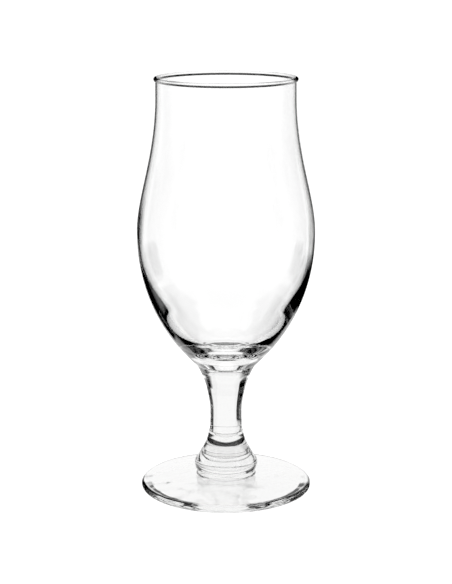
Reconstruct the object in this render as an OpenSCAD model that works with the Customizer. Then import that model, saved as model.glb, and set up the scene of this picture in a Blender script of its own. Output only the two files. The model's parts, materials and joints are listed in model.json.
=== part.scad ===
// Footed beer glass: a thin blown bowl with a beaded lip and a thick round floor, a stem with a flared
// head that cups the bowl's underside, a bell-shaped knop and a domed foot with a raised post. The four
// pieces of clear glass are shaped apart and welded hot. +Z is up, and the origin is the centre of the
// ring that the glass stands on. Every piece is one profile turned round the axis.

/* [Bowl] */
// Height of the bowl from the weld ring to the top of the lip
bowl_h = 127.9; // [90:0.1:170]
// Outside diameter of the beaded lip
rim_d = 62.7; // [54:0.1:72]
// Thickness of the bead along the lip
bead_t = 2; // [1.5:0.05:3.2]
// Outside diameter of the throat, the narrowest place under the lip
throat_d = 61.3; // [52:0.1:70]
// Distance from the top of the lip down to the throat
throat_drop = 7.65; // [5:0.05:14]
// Outside diameter of the belly, the widest place of the bowl
belly_d = 78.5; // [66:0.1:92]
// Height of the belly above the weld ring
belly_h = 59.7; // [45:0.1:75]
// Wall of the bowl at the throat
throat_wall = 0.75; // [0.6:0.05:1.4]
// Wall of the bowl at the belly
belly_wall = 1.1; // [0.7:0.05:1.8]
// Distance that the inside at the heel, where the wall thickens, lies in from the belly's outside
heel_inset = 9.3; // [7.5:0.1:13]
// Height of the heel above the weld ring
heel_h = 28.3; // [22:0.1:34]
// Slope of the inside at the heel, in degrees from level
heel_slope = 61; // [54:0.5:68]
// Glass between the floor of the bowl and the plane of the weld ring
base_t = 6.4; // [4:0.1:12]
// Slope of the bowl's underside where it meets the weld ring, in degrees from level
base_slope = 43.5; // [30:0.5:60]

/* [Weld] */
// Diameter of the weld ring between the bowl and the stem's head
weld_d = 26.6; // [22:0.1:32]
// Depth that the bowl's round underside reaches into the stem's head
weld_sag = 2.4; // [1.2:0.1:4]

/* [Stem] */
// Height of the stem from the knop to the weld ring
stem_h = 30.6; // [22:0.1:60]
// Diameter at the kink where the stem's head starts to flare
kink_d = 18; // [15:0.1:21]
// Distance from the weld ring down to the kink
kink_drop = 9.6; // [7:0.1:12]
// Diameter of the neck, the narrowest place of the stem
neck_d = 14.15; // [11:0.05:17]
// Height of the neck above the knop
neck_h = 9.2; // [6:0.1:12]
// Diameter of the stem where it stands on the knop
stem_foot_d = 14.75; // [12:0.05:18]

/* [Knop] */
// Height of the knop from the post to the stem
knop_h = 18; // [12:0.1:24]
// Width of the small rounded ledge round the stem's foot
ledge_w = 0.25; // [0.1:0.05:0.6]
// Diameter where the knop's neck turns into its flare
flare_d = 18; // [15.5:0.1:22]
// Distance from the stem down to that turn
flare_drop = 5.3; // [3.5:0.1:7.5]
// Diameter of the brim, where the flare starts to round over
brim_d = 27; // [21:0.1:32]
// Height of the brim above the post
brim_h = 4.9; // [3:0.1:7]
// Diameter of the knop at its widest edge
knop_d = 28.3; // [22:0.1:34]
// Height of the widest edge above the post
knop_edge_h = 2.7; // [1.5:0.1:4]

/* [Foot] */
// Diameter of the foot
foot_d = 76.6; // [64:0.1:90]
// Thickness of the foot at its round outer edge
foot_edge_t = 3.3; // [2.2:0.1:4.4]
// Height of the foot's domed top where it meets the post
foot_dome_h = 6.3; // [5:0.1:10]
// Diameter of the post that carries the knop
post_d = 26.05; // [20:0.05:30]
// Height of the post above the dome
post_h = 2.2; // [1:0.1:4]
// Radius of the fillet at the root of the post
root_r = 0.7; // [0.3:0.1:0.9]
// Width of the flat ring that the glass stands on
rest_ring_w = 3.4; // [2:0.1:6]
// Height of the hollow under the foot at its centre
hollow_h = 2.4; // [1:0.1:3.5]

/* [Hidden] */

glass_colour = [0.86, 0.91, 0.93, 0.5];

// Facets round the axis, and points along a long curve and a short one
$fn = 96;
long_steps = 24;
short_steps = 10;

// Handles of the profile curves, as shares of the height or width that each curve covers
throat_pull_share = 0.44;
belly_rise_share = 0.27;
belly_fall_share = 0.57;
base_pull_share = 0.17;
inside_fall_share = 0.532;
heel_rise_share = 0.258;
heel_fall_share = 0.88;
floor_pull_share = 0.447;
lip_pull_share = 0.45;
// Share of the bead's extra thickness that stands proud on the outside of the wall
bead_proud_share = 0.6;
neck_fall_share = 0.5;
neck_rise_share = 0.3;
knop_neck_share = 0.34;
flare_start_share = 0.27;
flare_end_share = 0.37;
brim_start_share = 0.36;
brim_end_share = 0.41;
// Shares of the way across and up from one end of a curve to the other, where its handles lie
stem_foot_shares = [0.25, 0.25];
kink_shares = [0.5, 0.63];
head_start_shares = [0.23, 0.33];
head_end_shares = [0.57, 0.7];
dome_start_shares = [0.3, 0.15];
dome_end_shares = [0.7, 0.6];

// Directions of the knop's outline, in degrees from level: below the ledge, at the flare and at the brim
knop_neck_angle = 79;
flare_angle = 70;
brim_angle = 56;

rim_r = rim_d / 2;
bead_r = bead_t / 2;
throat_r = throat_d / 2;
belly_r = belly_d / 2;
heel_r = belly_r - heel_inset;
weld_r = weld_d / 2;
kink_r = kink_d / 2;
neck_r = neck_d / 2;
stem_foot_r = stem_foot_d / 2;
flare_r = flare_d / 2;
brim_r = brim_d / 2;
knop_r = knop_d / 2;
foot_r = foot_d / 2;
edge_r = foot_edge_t / 2;
post_r = post_d / 2;
rest_out_r = foot_r - edge_r;
rest_in_r = rest_out_r - rest_ring_w;

// Heights above the resting plane, each piece standing on the one below
post_z = foot_dome_h + post_h;
knop_z = post_z + knop_edge_h;
brim_z = post_z + brim_h;
stem_z = post_z + knop_h;
flare_z = stem_z - flare_drop;
neck_z = stem_z + neck_h;
weld_z = stem_z + stem_h;
kink_z = weld_z - kink_drop;
floor_z = weld_z + base_t;
heel_z = weld_z + heel_h;
belly_z = weld_z + belly_h;
rim_z = weld_z + bowl_h;
throat_z = rim_z - throat_drop;

// A point part of the way from one point to another, with its own share for each direction
function between(a, b, shares) = [for (k = [0:1]) a[k] + (b[k] - a[k]) * shares[k]];

// A step outward and up, or outward and down, at an angle from level
function rising(angle) = [cos(angle), sin(angle)];
function falling(angle) = [cos(angle), -sin(angle)];

// A cubic curve from a to d with handles b and c, and the same curve without its first point
function curve(a, b, c, d, steps) = [for (i = [0:steps]) let (t = i / steps, s = 1 - t)
    s * s * s * a + 3 * s * s * t * b + 3 * s * t * t * c + t * t * t * d];
function onward(points) = [for (i = [1:len(points) - 1]) points[i]];
function backward(points) = [for (i = [len(points) - 1:-1:0]) points[i]];

// A curve whose two ends both run along the axis, as between the throat and the belly
function swell(a, b, a_share, b_share, steps) = let (rise = [0, b[1] - a[1]])
    curve(a, a + a_share * rise, b - b_share * rise, b, steps);

// An arc about a centre, from one angle to another
function arc(centre, radii, from, to, steps) = [for (i = [0:steps]) let (a = from + (to - from) * i / steps)
    centre + [radii[0] * cos(a), radii[1] * sin(a)]];

// A shallow round cap from its rim, at radius r and height z, to its pole, which lies a drop lower
function cap(r, z, drop, steps) = let (ball = (r * r + drop * drop) / (2 * drop), tilt = asin(r / ball))
    [for (i = [0:steps]) let (a = tilt * (1 - i / steps))
        [ball * sin(a), z - drop + ball * (1 - cos(a))]];

// The seat that the bowl's underside and the stem's head share
weld_seat = cap(weld_r, weld_z, weld_sag, short_steps);

// The bead is a round section that stands a little proud of both faces of the wall
bead_centre = [rim_r - bead_r, rim_z - bead_r];
bead_out_x = bead_r - bead_proud_share * (bead_t - throat_wall);
bead_in_x = bead_out_x - throat_wall;
bead_out_angle = -acos(bead_out_x / bead_r);
bead_in_angle = 360 - acos(bead_in_x / bead_r);
bead_arc = concat(arc(bead_centre, [bead_r, bead_r], bead_out_angle, 90, short_steps),
    onward(arc(bead_centre, [bead_r, bead_r], 90, bead_in_angle, short_steps)));

// The outside from the weld ring up to the lip
weld_ring = [weld_r, weld_z];
belly_out = [belly_r, belly_z];
throat_out = [throat_r, throat_z];
bowl_outside = concat(
    curve(weld_ring, weld_ring + base_pull_share * belly_h * rising(base_slope),
        belly_out - [0, belly_fall_share * belly_h], belly_out, long_steps),
    onward(swell(belly_out, throat_out, belly_rise_share, throat_pull_share, long_steps)),
    onward(swell(throat_out, bead_arc[0], lip_pull_share, lip_pull_share, short_steps)));

// The inside from the lip down past the heel to the round floor
belly_in = [belly_r - belly_wall, belly_z];
throat_in = [throat_r - throat_wall, throat_z];
heel_in = [heel_r, heel_z];
above_heel = belly_z - heel_z;
below_heel = heel_z - floor_z;
bowl_inside = concat(
    swell(bead_arc[len(bead_arc) - 1], throat_in, lip_pull_share, lip_pull_share, short_steps),
    onward(swell(throat_in, belly_in, throat_pull_share, belly_rise_share, long_steps)),
    onward(curve(belly_in, belly_in - [0, inside_fall_share * above_heel],
        heel_in + heel_rise_share * above_heel * rising(heel_slope), heel_in, long_steps)),
    onward(curve(heel_in, heel_in - heel_fall_share * below_heel * rising(heel_slope),
        [floor_pull_share * heel_r, floor_z], [0, floor_z], long_steps)));

// The thin blown bowl with its bead and its thick floor
module bowl()
{
    color(glass_colour)
        rotate_extrude()
            polygon(concat(backward(weld_seat), onward(bowl_outside),
                onward(bead_arc), onward(bowl_inside)));
}

// The stem: its foot on the knop, its neck, and the head that flares from the kink to the weld ring
module stem()
{
    stem_foot = [stem_foot_r, stem_z];
    neck = [neck_r, neck_z];
    kink = [kink_r, kink_z];
    shank = concat(
        curve(stem_foot, between(stem_foot, neck, stem_foot_shares),
            neck - [0, neck_fall_share * neck_h], neck, short_steps),
        onward(curve(neck, neck + [0, neck_rise_share * (kink_z - neck_z)],
            between(neck, kink, kink_shares), kink, short_steps)),
        onward(curve(kink, between(kink, weld_ring, head_start_shares),
            between(kink, weld_ring, head_end_shares), weld_ring, short_steps)));
    color(glass_colour)
        rotate_extrude()
            polygon(concat([[0, stem_z]], shank, onward(weld_seat)));
}

// The knop: a ledge round the stem's foot, a bell that flares to its brim, and a round edge over the post
module knop()
{
    ledge = arc([stem_foot_r, stem_z - ledge_w], [ledge_w, ledge_w], 90, 90 - knop_neck_angle, short_steps);
    neck_top = ledge[len(ledge) - 1];
    neck_pull = knop_neck_share * (neck_top[1] - flare_z);
    flare = [flare_r, flare_z];
    brim = [brim_r, brim_z];
    edge = [knop_r, knop_z];
    bell = concat(
        curve(neck_top, neck_top + neck_pull * falling(knop_neck_angle),
            flare - neck_pull * falling(flare_angle), flare, short_steps),
        onward(curve(flare, flare + flare_start_share * (flare_z - brim_z) * falling(flare_angle),
            brim - flare_end_share * (flare_z - brim_z) * falling(brim_angle), brim, short_steps)),
        onward(curve(brim, brim + brim_start_share * (brim_z - knop_z) * falling(brim_angle),
            edge + [0, brim_end_share * (brim_z - knop_z)], edge, short_steps)));
    under = arc([post_r, knop_z], [knop_r - post_r, knop_edge_h], 0, -90, short_steps);
    color(glass_colour)
        rotate_extrude()
            polygon(concat([[0, post_z], [0, stem_z]], ledge, onward(bell), onward(under)));
}

// The foot: a post with a filleted root on a gently domed disc with a round edge, hollow underneath
module foot()
{
    edge_top = [rest_out_r, foot_edge_t];
    root = arc([post_r + root_r, foot_dome_h + root_r], [root_r, root_r], 180, 270, short_steps);
    dome_top = root[len(root) - 1];
    dome = curve(dome_top, between(dome_top, edge_top, dome_start_shares),
        between(dome_top, edge_top, dome_end_shares), edge_top, long_steps);
    edge = arc([rest_out_r, edge_r], [edge_r, edge_r], 90, -90, short_steps);
    hollow = [for (p = cap(rest_in_r, 0, hollow_h, long_steps)) [p[0], -p[1]]];
    color(glass_colour)
        rotate_extrude()
            polygon(concat([[0, post_z], [post_r, post_z]], root, onward(dome), onward(edge), hollow));
}

bowl();
stem();
knop();
foot();
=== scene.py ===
# %% [markdown]
# A footed beer glass of clear glass: a thin blown bowl, a stem, a bell-shaped knop and a domed foot,
# shaped apart and welded hot. The solids of the CAD model come in as a fixed frame. Each piece is then
# modelled again here as one smooth skin, because light that bends through glass shows every facet of a
# coarse mesh.

# %% Load the frame
import json
import math

import bpy
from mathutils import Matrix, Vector

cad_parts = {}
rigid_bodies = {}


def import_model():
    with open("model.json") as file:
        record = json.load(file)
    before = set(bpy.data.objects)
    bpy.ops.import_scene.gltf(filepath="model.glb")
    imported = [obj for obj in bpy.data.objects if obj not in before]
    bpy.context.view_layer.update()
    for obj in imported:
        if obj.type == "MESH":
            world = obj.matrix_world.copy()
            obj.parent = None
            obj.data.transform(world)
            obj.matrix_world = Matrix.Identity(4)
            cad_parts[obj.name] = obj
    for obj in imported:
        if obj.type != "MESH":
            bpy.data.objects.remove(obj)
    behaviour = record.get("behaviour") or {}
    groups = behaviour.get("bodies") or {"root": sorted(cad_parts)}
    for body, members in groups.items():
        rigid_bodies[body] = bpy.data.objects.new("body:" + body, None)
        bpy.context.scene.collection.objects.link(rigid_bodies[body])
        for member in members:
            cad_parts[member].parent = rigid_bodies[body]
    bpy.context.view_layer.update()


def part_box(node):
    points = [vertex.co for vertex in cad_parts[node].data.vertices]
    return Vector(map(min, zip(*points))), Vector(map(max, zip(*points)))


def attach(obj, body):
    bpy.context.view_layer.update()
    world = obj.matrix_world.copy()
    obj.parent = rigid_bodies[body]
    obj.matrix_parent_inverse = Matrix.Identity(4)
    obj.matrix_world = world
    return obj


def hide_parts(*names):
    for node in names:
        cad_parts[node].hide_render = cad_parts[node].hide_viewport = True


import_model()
scene = bpy.context.scene
scene.view_settings.view_transform = "Standard"

# %% [markdown]
# A ray that enters thick glass is thrown about inside it before it finds a way out. With Blender's usual
# limits such a ray can be cut off before it gets out, and it then counts as black. So the limits go up.

# %% Bounces of light in thick glass
scene.cycles.max_bounces = 16
scene.cycles.glossy_bounces = 8
scene.cycles.transmission_bounces = 16
scene.cycles.transparent_max_bounces = 32
print("bounces", scene.cycles.max_bounces)

# %% [markdown]
# The sizes that the solids show on their outside are read from the frame, so that every skin lies on its
# solid. The box of a turned piece gives its largest radius and its lowest and highest places.

# %% Sizes from the frame
bowl_low, bowl_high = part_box("bowl")
stem_low, stem_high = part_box("stem")
knop_low, knop_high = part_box("knop")
foot_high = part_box("foot")[1]

belly_r = bowl_high[0]
rim_z = bowl_high[2]
weld_r = stem_high[0]
weld_z = stem_high[2]
weld_sag = weld_z - bowl_low[2]
stem_z = stem_low[2]
knop_r = knop_high[0]
post_z = knop_low[2]
foot_r = foot_high[0]
print("weld at", round(weld_z, 4), "rim at", round(rim_z, 4), "belly radius", round(belly_r, 5))

# %% [markdown]
# Each profile is a chain of cubic curves, from the axis out, round the piece and back to the axis. It
# could be a long list of points, but two ends and two handles say the same stretch in one line, and the
# stretch stays smooth at any number of points.

# %% Stretches of a profile
def curve(a, b, c, d):
    """One cubic stretch from a to d with handles b and c."""
    return [tuple(Vector(p) for p in (a, b, c, d))]


def line(a, b):
    """A straight stretch."""
    a, b = Vector(a), Vector(b)
    return curve(a, a.lerp(b, 1 / 3), a.lerp(b, 2 / 3), b)


def swell(a, b, a_share, b_share):
    """A stretch whose two ends both run along the axis, as between the throat and the belly."""
    rise = Vector((0, b[1] - a[1]))
    return curve(a, Vector(a) + a_share * rise, Vector(b) - b_share * rise, b)


def between(a, b, shares):
    """A point part of the way from a to b, with its own share across and up."""
    return Vector(p + (q - p) * s for p, q, s in zip(a, b, shares))


def rising(degrees):
    """A step outward and up at an angle from level."""
    return Vector((math.cos(math.radians(degrees)), math.sin(math.radians(degrees))))


def falling(degrees):
    """A step outward and down at an angle from level."""
    return rising(-degrees)


def backward(stretches):
    """The same chain, run the other way."""
    return [tuple(reversed(s)) for s in reversed(stretches)]


print("points of a straight stretch", [round(p[0], 2) for p in line((0, 0), (3, 0))[0]])

# %% [markdown]
# Round stretches are drawn with the same cubic curves, a quarter turn or less at a time. The handle's
# length is the usual one for a circle, four thirds of the tangent of a quarter of the angle.

# %% Round stretches
quarter_turn = 90
full_turn = 360
rounding_slack = 1e-9


def arc(centre, radii, start, end):
    """A round stretch about a centre, between two angles in degrees."""
    pieces = math.ceil(abs(end - start) / quarter_turn - rounding_slack)
    step = math.radians(end - start) / pieces
    reach = 4 / 3 * math.tan(step / 4)
    stretches = []
    for i in range(pieces):
        ends = []
        for turn in (math.radians(start) + i * step, math.radians(start) + (i + 1) * step):
            on = Vector((centre[0] + radii[0] * math.cos(turn), centre[1] + radii[1] * math.sin(turn)))
            along = Vector((-radii[0] * math.sin(turn), radii[1] * math.cos(turn)))
            ends.append((on, along))
        (p, p_along), (q, q_along) = ends
        stretches += curve(p, p + reach * p_along, q - reach * q_along, q)
    return stretches


def cap(r, z, rise):
    """A shallow round cap from its pole on the axis out to its rim, at radius r and height z."""
    ball = (r * r + rise * rise) / (2 * abs(rise))
    tilt = math.degrees(math.asin(r / ball))
    side_up = math.copysign(1, rise)
    centre = (0, z + rise - side_up * ball)
    return arc(centre, (ball, ball), side_up * quarter_turn, side_up * (quarter_turn - tilt))


print("a full circle takes", len(arc((0, 0), (1, 1), 0, full_turn)), "stretches")

# %% [markdown]
# A profile becomes glass as on a lathe: the Bezier curve is drawn in the XZ plane, turned into a line of
# edges, and spun once round the axis. Doubles at the seam and on the axis are merged, so that the skin is
# closed, and its normals are then made to point outwards. A screw modifier could do the same, but the
# spin leaves a plain mesh with its poles welded.

# %% From a profile to a skin
turn_steps = 192
points_per_stretch = 32
merge_distance = 1e-6
sharp_angle = math.radians(28)


def draw_profile(name, stretches):
    """A Bezier curve in the XZ plane that follows a chain of stretches."""
    bpy.ops.object.select_all(action="DESELECT")
    bpy.ops.curve.primitive_bezier_curve_add(location=(0, 0, 0))
    drawn = bpy.context.object
    drawn.name = drawn.data.name = name
    drawn.data.resolution_u = points_per_stretch
    knots = drawn.data.splines[0].bezier_points
    knots.add(len(stretches) + 1 - len(knots))
    for i, knot in enumerate(knots):
        into = stretches[i - 1] if i > 0 else None
        out_of = stretches[i] if i < len(stretches) else None
        on = out_of[0] if out_of else into[3]
        left = into[2] if into else on
        right = out_of[1] if out_of else on
        knot.handle_left_type = knot.handle_right_type = "FREE"
        knot.co = (on[0], 0, on[1])
        knot.handle_left = (left[0], 0, left[1])
        knot.handle_right = (right[0], 0, right[1])
    return drawn


def spin_profile(name, stretches):
    """A closed skin made by spinning a chain of stretches round the Z axis."""
    draw_profile(name, stretches)
    bpy.ops.object.convert(target="MESH")
    skin = bpy.context.object
    bpy.ops.object.mode_set(mode="EDIT")
    bpy.ops.mesh.select_all(action="SELECT")
    bpy.ops.mesh.spin(steps=turn_steps, angle=2 * math.pi, center=(0, 0, 0), axis=(0, 0, 1))
    bpy.ops.mesh.select_all(action="SELECT")
    bpy.ops.mesh.remove_doubles(threshold=merge_distance)
    bpy.ops.mesh.normals_make_consistent(inside=False)
    bpy.ops.object.mode_set(mode="OBJECT")
    bpy.ops.object.shade_smooth_by_angle(angle=sharp_angle)
    print(name, "faces", len(skin.data.polygons))
    return skin


print("a skin has", turn_steps, "steps round the axis")

# %% [markdown]
# Shader maths is written as plain sums: a wrapped socket knows how to add and multiply, and each sum adds
# the Math node that it needs. Nearly every node comes from one function, which makes a node, sets it up
# and feeds its sockets.

# %% Writing shaders as sums
class Wire:
    """An output socket in a node tree, with operators that add Math nodes."""

    def __init__(self, tree, socket):
        self.tree = tree
        self.socket = socket

    def math(self, operation, other):
        return make(self.tree, "ShaderNodeMath", {"operation": operation}, {0: self, 1: other})

    def __add__(self, other):
        return self.math("ADD", other)

    __radd__ = __add__

    def __mul__(self, other):
        return self.math("MULTIPLY", other)

    __rmul__ = __mul__


def make(tree, kind, settings=None, sockets=None, out=0):
    """Adds a node, sets it up, feeds its sockets with values or wires, and returns one output."""
    node = tree.nodes.new(kind)
    for key, value in (settings or {}).items():
        setattr(node, key, value)
    for key, value in (sockets or {}).items():
        if isinstance(value, Wire):
            tree.links.new(value.socket, node.inputs[key])
        else:
            node.inputs[key].default_value = value
    return Wire(tree, node.outputs[out])


def new_material(name):
    """An empty node material, its tree and its output node."""
    material = bpy.data.materials.new(name)
    material.use_nodes = True
    tree = material.node_tree
    tree.nodes.clear()
    return material, tree, tree.nodes.new("ShaderNodeOutputMaterial")


print("shader helpers", Wire.__name__, make.__name__, new_material.__name__)

# %% [markdown]
# The glass is clear soda-lime glass with a fire-polished face. It isn't quite even: a blown wall has long
# shallow waves, a stem and knop shorter ones, and a pressed foot the deepest, which make its dark lines
# tremble and break. All come from a noise in a Bump node. A second noise leaves a film, as from a drying
# cloth, on parts of the face. Thick glass is a little grey, so the lower pieces get a tint. Lamps shine
# through by the mix with a Transparent shader, so that the shadow of the glass stays pale.

# %% Clear glass
glass_index = 1.5
wave_detail = 1.0
film_size = 0.02
film_detail = 3.0
film_roughness = 0.012
shadow_tint = (0.9, 0.9, 0.9, 1)


def noise(tree, place, size, detail):
    """A noise whose spots are about a size across, in metres."""
    return make(tree, "ShaderNodeTexNoise", {}, {"Vector": place, "Scale": 1 / size, "Detail": detail})


def clear_glass(name, tint, wave_size, wave_depth):
    """Clear glass with a tint, and waves of a size and depth in metres on its face."""
    material, tree, output = new_material(name)
    place = make(tree, "ShaderNodeTexCoord", out="Object")
    waves = noise(tree, place, wave_size, wave_detail)
    film = noise(tree, place, film_size, film_detail)
    face = make(tree, "ShaderNodeBump", {}, {"Distance": wave_depth, "Height": waves})
    glass = make(tree, "ShaderNodeBsdfPrincipled", {}, {
        "Base Color": tint, "IOR": glass_index, "Transmission Weight": 1.0,
        "Roughness": film_roughness * film, "Normal": face})
    see_through = make(tree, "ShaderNodeBsdfTransparent", {}, {"Color": shadow_tint})
    shadow = make(tree, "ShaderNodeLightPath", out="Is Shadow Ray")
    both = make(tree, "ShaderNodeMixShader", {}, {0: shadow, 1: glass, 2: see_through})
    tree.links.new(both.socket, output.inputs["Surface"])
    return material


white = (1, 1, 1, 1)
stem_tint = (0.88, 0.88, 0.877, 1)
foot_tint = (0.86, 0.86, 0.857, 1)
blown_glass = clear_glass("blown_glass", white, wave_size=0.03, wave_depth=0.00001)
pressed_glass = clear_glass("pressed_glass", stem_tint, wave_size=0.009, wave_depth=0.0001)
foot_glass = clear_glass("foot_glass", foot_tint, wave_size=0.014, wave_depth=0.0006)
print("glass", blown_glass.name, pressed_glass.name, foot_glass.name)

# %% [markdown]
# Where two pieces were welded hot, the glass is one: there is no face left for light to bend at. The faces
# of a weld are still there on each skin, so that each is closed, and they get a fully see-through material.

# %% Welded faces and dressing a piece
def welded_face():
    """A material for faces inside the glass, which light crosses as if they weren't there."""
    material, tree, output = new_material("welded_face")
    see_through = make(tree, "ShaderNodeBsdfTransparent", {}, {"Color": white})
    tree.links.new(see_through.socket, output.inputs["Surface"])
    return material


weld_material = welded_face()


def dress(piece, node, glass, is_weld):
    """Gives a skin its glass and its welds, and lets it stand for a node of the frame."""
    piece.data.materials.append(glass)
    piece.data.materials.append(weld_material)
    welds = 0
    for face in piece.data.polygons:
        if is_weld(face.center, face.normal):
            face.material_index = 1
            welds += 1
    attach(piece, "root")
    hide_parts(node)
    print(piece.name, "weld faces", welds)


print("weld material", weld_material.name)

# %% [markdown]
# The bowl is blown thin into a mould. Its outside rises from the weld ring to a wide belly, draws in to
# the throat and ends in a small round bead, melted on the lip so that it doesn't cut. The bead stands a
# little proud of both faces of the wall.

# %% Outside of the bowl
rim_r = 0.03135
bead_r = 0.001
throat_r = 0.03065
throat_drop = 0.00765
throat_wall = 0.00075
belly_h = 0.0597
belly_wall = 0.0011
throat_z = rim_z - throat_drop
belly_z = weld_z + belly_h
base_slope = 43.5
base_pull_share = 0.17
belly_fall_share = 0.57
belly_rise_share = 0.27
throat_pull_share = 0.44
lip_pull_share = 0.45
bead_proud_share = 0.6

weld_ring = Vector((weld_r, weld_z))
belly_out = Vector((belly_r, belly_z))
throat_out = Vector((throat_r, throat_z))
bead_out_x = bead_r - bead_proud_share * (2 * bead_r - throat_wall)
bead_in_x = bead_out_x - throat_wall
bead_start = -math.degrees(math.acos(bead_out_x / bead_r))
bead_end = full_turn - math.degrees(math.acos(bead_in_x / bead_r))
bead = arc((rim_r - bead_r, rim_z - bead_r), (bead_r, bead_r), bead_start, bead_end)
bowl_outside = (
    curve(weld_ring, weld_ring + base_pull_share * belly_h * rising(base_slope),
          belly_out - Vector((0, belly_fall_share * belly_h)), belly_out)
    + swell(belly_out, throat_out, belly_rise_share, throat_pull_share)
    + swell(throat_out, bead[0][0], lip_pull_share, lip_pull_share)
)
print("outside of the bowl", len(bowl_outside), "stretches, bead", len(bead))

# %% [markdown]
# Inside, the wall stays thin down to the heel, where it thickens fast into a heavy round floor. The heel
# decides how the lower bowl looks: the thick wall there bends the line of sight far aside or keeps it in
# the glass, so the wall is black from the side, and the bend of the heel draws the pale streak in the black.

# %% Inside of the bowl
heel_inset = 0.0093
heel_h = 0.0283
base_t = 0.0064
heel_r = belly_r - heel_inset
heel_z = weld_z + heel_h
floor_z = weld_z + base_t
heel_slope = 61
inside_fall_share = 0.532
heel_rise_share = 0.258
heel_fall_share = 0.88
floor_pull_share = 0.447

belly_in = Vector((belly_r - belly_wall, belly_z))
throat_in = Vector((throat_r - throat_wall, throat_z))
heel_in = Vector((heel_r, heel_z))
above_heel = belly_z - heel_z
below_heel = heel_z - floor_z
bowl_inside = (
    swell(bead[-1][3], throat_in, lip_pull_share, lip_pull_share)
    + swell(throat_in, belly_in, throat_pull_share, belly_rise_share)
    + curve(belly_in, belly_in - Vector((0, inside_fall_share * above_heel)),
            heel_in + heel_rise_share * above_heel * rising(heel_slope), heel_in)
    + curve(heel_in, heel_in - heel_fall_share * below_heel * rising(heel_slope),
            (floor_pull_share * heel_r, floor_z), (0, floor_z))
)
bowl = spin_profile("glass_bowl", cap(weld_r, weld_z, -weld_sag) + bowl_outside + bead + bowl_inside)
dress(bowl, "bowl", blown_glass, lambda at, normal: at.z < weld_z - merge_distance)

# %% [markdown]
# The stem is drawn from a gob of hot glass. It is narrowest at its neck, widens to a kink, and flares from
# there to a head that cups the round underside of the bowl. Its two ends are welds.

# %% The stem
stem_foot_r = 0.007375
neck_r = 0.007075
neck_h = 0.0092
kink_r = 0.009
kink_drop = 0.0096
neck_z = stem_z + neck_h
kink_z = weld_z - kink_drop
stem_foot_shares = (0.25, 0.25)
neck_fall_share = 0.5
neck_rise_share = 0.3
kink_shares = (0.5, 0.63)
head_start_shares = (0.23, 0.33)
head_end_shares = (0.57, 0.7)
weld_faces_up = 0.8

stem_foot = Vector((stem_foot_r, stem_z))
neck = Vector((neck_r, neck_z))
kink = Vector((kink_r, kink_z))
stem_profile = (
    line((0, stem_z), stem_foot)
    + curve(stem_foot, between(stem_foot, neck, stem_foot_shares),
            neck - Vector((0, neck_fall_share * neck_h)), neck)
    + curve(neck, neck + Vector((0, neck_rise_share * (kink_z - neck_z))),
            between(neck, kink, kink_shares), kink)
    + curve(kink, between(kink, weld_ring, head_start_shares),
            between(kink, weld_ring, head_end_shares), weld_ring)
    + backward(cap(weld_r, weld_z, -weld_sag))
)
stem = spin_profile("glass_stem", stem_profile)
dress(stem, "stem", pressed_glass,
      lambda at, normal: at.z < stem_z + merge_distance or normal.z > weld_faces_up)

# %% [markdown]
# The knop is a small bell between the stem and the foot. A rounded ledge goes round the stem's foot, the
# bell flares below it to a brim, and the brim rounds over to the post. Each of these bends shows as one
# of the dark arcs in the knop, so each is drawn as a stretch of its own.

# %% The knop
ledge_w = 0.00025
flare_r = 0.009
flare_drop = 0.0053
brim_r = 0.0135
brim_h = 0.0049
knop_edge_h = 0.0027
post_r = 0.013025
flare_z = stem_z - flare_drop
brim_z = post_z + brim_h
knop_z = post_z + knop_edge_h
knop_neck_angle = 79
flare_angle = 70
brim_angle = 56
knop_neck_share = 0.34
flare_start_share = 0.27
flare_end_share = 0.37
brim_start_share = 0.36
brim_end_share = 0.41

ledge_end = quarter_turn - knop_neck_angle
ledge = arc((stem_foot_r, stem_z - ledge_w), (ledge_w, ledge_w), quarter_turn, ledge_end)
neck_top = ledge[-1][3]
neck_pull = knop_neck_share * (neck_top[1] - flare_z)
flare = Vector((flare_r, flare_z))
flare_h = flare_z - brim_z
brim = Vector((brim_r, brim_z))
brim_drop = brim_z - knop_z
knop_edge = Vector((knop_r, knop_z))
knop_profile = (
    line((0, stem_z), stem_foot)
    + ledge
    + curve(neck_top, neck_top + neck_pull * falling(knop_neck_angle),
            flare - neck_pull * falling(flare_angle), flare)
    + curve(flare, flare + flare_start_share * flare_h * falling(flare_angle),
            brim - flare_end_share * flare_h * falling(brim_angle), brim)
    + curve(brim, brim + brim_start_share * brim_drop * falling(brim_angle),
            knop_edge + Vector((0, brim_end_share * brim_drop)), knop_edge)
    + arc((post_r, knop_z), (knop_r - post_r, knop_edge_h), 0, -quarter_turn)
    + line((post_r, post_z), (0, post_z))
)
knop = spin_profile("glass_knop", knop_profile)
dress(knop, "knop", pressed_glass,
      lambda at, normal: at.z < post_z + merge_distance or at.z > stem_z - merge_distance)

# %% [markdown]
# The foot is pressed: a gently domed disc with a round outer edge and a short post in the middle that
# carries the knop. Underneath it is hollow, so that the glass stands on a flat ring and doesn't rock.

# %% The foot
edge_r = 0.00165
dome_drop = 0.0022
root_r = 0.0007
rest_ring_w = 0.0034
hollow_h = 0.0024
dome_z = post_z - dome_drop
rest_out_r = foot_r - edge_r
rest_in_r = rest_out_r - rest_ring_w
dome_start_shares = (0.3, 0.15)
dome_end_shares = (0.7, 0.6)

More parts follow.
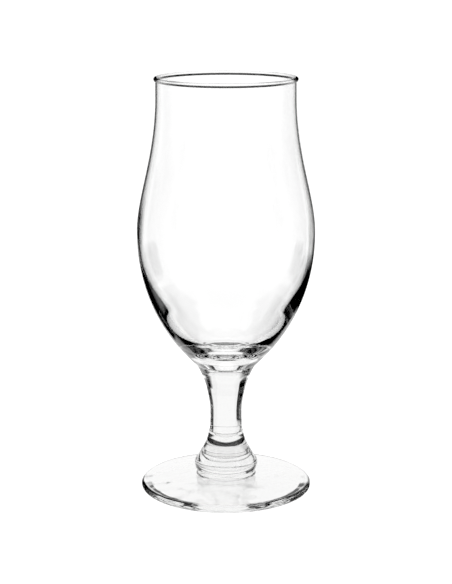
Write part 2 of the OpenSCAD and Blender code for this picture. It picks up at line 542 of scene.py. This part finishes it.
root = arc((post_r + root_r, dome_z + root_r), (root_r, root_r), 2 * quarter_turn, 3 * quarter_turn)
dome_top = root[-1][3]
edge_top = Vector((rest_out_r, 2 * edge_r))
foot_profile = (
    line((0, post_z), (post_r, post_z))
    + line((post_r, post_z), root[0][0])
    + root
    + curve(dome_top, between(dome_top, edge_top, dome_start_shares),
            between(dome_top, edge_top, dome_end_shares), edge_top)
    + arc((rest_out_r, edge_r), (edge_r, edge_r), quarter_turn, -quarter_turn)
    + line((rest_out_r, 0), (rest_in_r, 0))
    + backward(cap(rest_in_r, 0, hollow_h))
)
foot = spin_profile("glass_foot", foot_profile)
dress(foot, "foot", foot_glass, lambda at, normal: at.z > post_z - merge_distance)

# %% [markdown]
# The camera was found from the ellipses of the lip and the foot: how flat each one looks gives the angle
# at which it is seen, and the two together give the distance and the focal length.

# %% The camera
camera_away = 0.7134
camera_height = 0.2508
camera_pitch = math.radians(12.708)
focal_pixels = 1649.1
picture_height = 584

camera_turn = (math.pi / 2 - camera_pitch, 0, 0)
bpy.ops.object.camera_add(location=(0, -camera_away, camera_height), rotation=camera_turn)
camera = bpy.context.object
camera.data.sensor_fit = "AUTO"
camera.data.lens = focal_pixels * camera.data.sensor_width / picture_height
scene.camera = camera
print("lens", round(camera.data.lens, 2))

# %% [markdown]
# Glass has hardly a colour of its own: it shows the room. A glass on a white page is photographed in front
# of a white field, so the world is white for the camera and for rays that the glass reflects or bends, and
# dimmer as a light.

# %% The white field
field_light = 0.4
field_seen = 1.07

world = bpy.data.worlds.new("white_field")
scene.world = world
world.use_nodes = True
tree = world.node_tree
tree.nodes.clear()
path = tree.nodes.new("ShaderNodeLightPath")
seen = Wire(tree, path.outputs["Is Camera Ray"]) + Wire(tree, path.outputs["Is Glossy Ray"])
seen = seen + Wire(tree, path.outputs["Is Transmission Ray"])
seen = seen.math("MINIMUM", 1.0)
field = make(tree, "ShaderNodeBackground", {}, {
    "Color": white, "Strength": field_light + (field_seen - field_light) * seen})
tree.links.new(field.socket, tree.nodes.new("ShaderNodeOutputWorld").inputs["Surface"])
print("field", field_seen)

# %% [markdown]
# In front of a plain white field the edges of a glass would vanish, so a photographer stands black cards
# just out of the picture, and the glass draws its own outline with them. Each card here is a sheet that only
# the glass sees. Its edges fade, as a card's do when it is out of focus, by an attribute on its corners.
# The cards hang on a frame that turns with the camera, as a set is turned round for another shot.

# %% The frame of cards
def black_card():
    """Black felt that fades to nothing where the attribute says so."""
    material, tree, output = new_material("black_card")
    felt = make(tree, "ShaderNodeEmission", {}, {"Strength": 0.0})
    clear = make(tree, "ShaderNodeBsdfTransparent")
    fade = make(tree, "ShaderNodeAttribute", {"attribute_name": "fade"}, out="Fac")
    both = make(tree, "ShaderNodeMixShader", {}, {0: fade, 1: felt, 2: clear})
    tree.links.new(both.socket, output.inputs["Surface"])
    return material


card_material = black_card()
card_frame = bpy.data.objects.new("card_frame", None)
card_frame.location = (0, 0, rim_z / 2)
scene.collection.objects.link(card_frame)
card_frame.constraints.new("COPY_ROTATION").target = camera
print("card frame at", tuple(card_frame.location))

# %% [markdown]
# A card lies on a grid of stops. A stop is a distance in metres from the middle of the glass and a share of
# clearness there, 0 for black and 1 for clear. Sideways is the camera's right, up is its up, and away is
# straight behind the glass.

# %% Cards on a grid of stops
def band(start, end, soft_start, soft_end):
    """Stops for a card that is black from start to end and fades on both sides."""
    return [(start - soft_start, 1), (start, 0), (end, 0), (end + soft_end, 1)]


def card(name, place, first, second):
    """A card on two rows of stops. The place function turns two distances into a point."""
    corners = [place(a, b) for a, _ in first for b, _ in second]
    clear = [max(f, g) for _, f in first for _, g in second]
    row = len(second)
    faces = [(i * row + j, i * row + j + 1, (i + 1) * row + j + 1, (i + 1) * row + j)
             for i in range(len(first) - 1) for j in range(row - 1)]
    mesh = bpy.data.meshes.new(name)
    mesh.from_pydata(corners, [], faces)
    fade = mesh.attributes.new("fade", "FLOAT", "POINT")
    for spot, share in zip(fade.data, clear):
        spot.value = share
    sheet = bpy.data.objects.new(name, mesh)
    scene.collection.objects.link(sheet)
    sheet.parent = card_frame
    sheet.data.materials.append(card_material)
    sheet.visible_camera = False
    sheet.visible_diffuse = False
    sheet.visible_shadow = False
    print(name, "faces", len(faces))


def side_card(name, sideways, away_stops, up_stops):
    """A card that stands beside the glass."""
    card(name, lambda away, up: (sideways, up, -away), away_stops, up_stops)


def back_card(name, away, sideways_stops, up_stops):
    """A card that stands across the line of sight, behind the glass or in front of it."""
    card(name, lambda sideways, up: (sideways, up, -away), sideways_stops, up_stops)


def level_card(name, up, sideways_stops, away_stops):
    """A card that lies level, over the glass or under it."""
    card(name, lambda sideways, away: (sideways, up, -away), sideways_stops, away_stops)


print("stops of a band", band(0, 1, 0.5, 0.5))

# %% [markdown]
# Two cards beside the bowl outline its thin wall. They stand close, and fade towards the camera so that
# they leave no haze in the middle of the bowl. A third, lower down on the right, blackens the heel.

# %% Cards beside the bowl
bowl_heights = [(0.0, 1), (0.03, 0), (0.6, 0)]
left_bowl_side = -0.060
left_bowl_depths = [(-0.012, 1), (0.0, 0.7), (0.03, 0.4), (0.045, 0), (0.08, 0), (0.15, 1)]
right_bowl_side = 0.055
right_bowl_depths = [(-0.012, 1), (0.0, 0.6), (0.025, 0.3), (0.035, 0), (0.05, 0), (0.10, 1)]
heel_side = 0.056
heel_depths = band(0.035, 0.09, 0.02, 0.03)
heel_heights = band(-0.02, 0.02, 0.008, 0.015)
side_card("left_bowl_card", left_bowl_side, left_bowl_depths, bowl_heights)
side_card("right_bowl_card", right_bowl_side, right_bowl_depths, bowl_heights)
side_card("right_heel_card", heel_side, heel_depths, heel_heights)

# %% [markdown]
# The bowl's underside sends its edge rays sideways and a little back towards the camera. Two far cards
# catch the ones that rise, and two small ones close by catch the level ones, so that the outline of the
# bowl runs down to the stem without a gap. The close ones are kept small, because each also mirrors as a
# soft grey patch in the lower bowl. The photo has soft patches there too.

# %% Cards for the underside of the bowl
far_side = 0.4
far_depths = band(-0.24, 0.02, 0.05, 0.03)
far_heights = band(0.125, 0.4, 0.03, 0.1)
side_card("left_far_card", -far_side, far_depths, far_heights)
side_card("right_far_card", far_side, far_depths, far_heights)

edge_side = 0.1
edge_heights = band(-0.026, 0.004, 0.004, 0.01)
left_edge_depths = [(-0.018, 1), (-0.012, 0), (0.015, 0), (0.028, 0.4), (0.055, 0.3), (0.075, 1)]
right_edge_depths = band(-0.012, 0.012, 0.006, 0.006)
side_card("left_edge_card", -edge_side, left_edge_depths, edge_heights)
side_card("right_edge_card", edge_side, right_edge_depths, edge_heights)

# %% [markdown]
# The stem is a lens: it shows the left card as a band on its right, and the right card on its left. The far
# edge of each card sets how wide its band is, and its lower edge where the band ends. Both begin behind
# the stem, because nearer ones would leave a haze in the bowl. Lower cards outline the foot.

# %% Cards beside the stem and the foot
stem_side = 0.1
left_stem_depths = band(0.07, 0.190, 0.03, 0.009)
left_stem_heights = band(-0.09, 0.04, 0.006, 0.015)
right_stem_depths = band(0.03, 0.125, 0.02, 0.025)
right_stem_heights = band(-0.062, -0.005, 0.004, 0.015)
side_card("left_stem_card", -stem_side, left_stem_depths, left_stem_heights)
side_card("right_stem_card", stem_side, right_stem_depths, right_stem_heights)

foot_near = -0.015
foot_near_fade = 0.015
left_foot_depths = band(foot_near, 0.09, foot_near_fade, 0.02)
right_foot_depths = band(foot_near, 0.125, foot_near_fade, 0.025)
foot_heights = band(-0.17, -0.06, 0.03, 0.01)
side_card("left_foot_card", -stem_side, left_foot_depths, foot_heights)
side_card("right_foot_card", stem_side, right_foot_depths, foot_heights)

# %% [markdown]
# The white field behind the glass ends a little above the lip, and the dark over it draws the two lines of
# the lip. The card under the table behind the foot is painted shade: it stands in for the shade on the
# table under the foot, as seen down through the glass, and makes the black arc in the knop. The dark room
# in front and over the left side gives the knop and the foot their small black marks.

# %% Cards over, under and in front
top_away = 0.125
top_widths = band(-0.12, 0.12, 0.06, 0.06)
top_heights = [(0.1130, 1), (0.1138, 0), (0.9, 0)]
back_card("top_card", top_away, top_widths, top_heights)

front_away = -0.5
front_widths = band(-0.45, 0.45, 0.15, 0.15)
front_heights = [(0.15, 1), (0.2, 0), (0.8, 0)]
back_card("front_card", front_away, front_widths, front_heights)

over_height = 0.5
over_widths = band(-0.6, -0.2, 0.1, 0.08)
over_depths = band(-0.2, 0.2, 0.1, 0.1)
level_card("over_card", over_height, over_widths, over_depths)

# Painted shade: a black sheet below the table stands in for the shade under the foot, seen through the
# glass.
under_height = -0.2
under_widths = band(-0.15, 0.15, 0.05, 0.05)
under_depths = band(0.031, 0.155, 0.007, 0.02)
level_card("foot_shade_card", under_height, under_widths, under_depths)
print("cards", len(card_frame.children))

# %% [markdown]
# The floor is a sheet of white paper that goes on past the picture. It glows a little, so that it is as
# white as the field, and the glass looks through it to the field.

# %% The floor
floor_size = 12
floor_gap = 0.0002
paper_colour = (0.8, 0.8, 0.8, 1)
paper_glow = 0.8

bpy.ops.object.select_all(action="DESELECT")
bpy.ops.mesh.primitive_plane_add(size=floor_size, location=(0, 0, -floor_gap))
floor = bpy.context.object
floor.name = "floor"
paper_material, tree, output = new_material("white_paper")
paper = make(tree, "ShaderNodeBsdfDiffuse", {}, {"Color": paper_colour})
glow = make(tree, "ShaderNodeEmission", {}, {"Strength": paper_glow})
both = make(tree, "ShaderNodeAddShader", {}, {0: paper, 1: glow})
tree.links.new(both.socket, output.inputs["Surface"])
floor.data.materials.append(paper_material)
floor.visible_transmission = False
floor.visible_glossy = False
print("floor", floor_size, "m wide")

# %% [markdown]
# One large soft lamp hangs over the left side. The photo shows no bright spot on the glass, so the lamp
# itself is hidden from the glass and only lights the paper and casts the faint shadow.

# %% The lamp
lamp_place = (-0.25, -0.1, 0.9)
lamp_size = 0.8
lamp_watts = 3
bpy.ops.object.light_add(type="AREA", location=lamp_place)
lamp = bpy.context.object
lamp.data.size = lamp_size
lamp.data.energy = lamp_watts
lamp.visible_glossy = False
lamp.visible_transmission = False
lamp.visible_camera = False
print("lamp", lamp_watts, "W")
